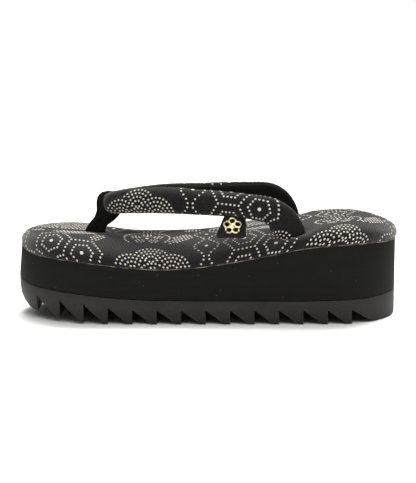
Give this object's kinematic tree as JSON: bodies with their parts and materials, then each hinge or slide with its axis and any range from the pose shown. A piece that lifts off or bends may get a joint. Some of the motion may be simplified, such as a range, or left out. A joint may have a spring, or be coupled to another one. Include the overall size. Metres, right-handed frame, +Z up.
{
  "type": "setta sandal",
  "caption": "Platform setta thong sandal: sawtooth rubber outsole, foam wedge, padded cloth footbed, padded cloth strap held by a velvet toe post.",
  "frame": {"origin": "on the floor under the middle of the sandal's bounding box", "axes": "+X along the sole from toe to heel, +Y from the outer to the inner side of the foot, +Z up from the tread"},
  "size_m": [0.2449, 0.093, 0.0833],
  "materials": {
    "outsole_rubber": "matte dark grey rubber",
    "midsole_foam": "matte black foam",
    "printed_cloth": "charcoal cotton printed with off-white dots",
    "velvet": "black velvet",
    "tab_cloth": "black woven tape",
    "gold_metal": "polished pale gold"
  },
  "bodies": {
    "root": {"outsole": "outsole_rubber", "midsole": "midsole_foam", "footbed": "printed_cloth", "strap": "printed_cloth", "toe_post": "velvet", "side_tab": "tab_cloth", "tab_button": "gold_metal"}
  },
  "joints": []
}
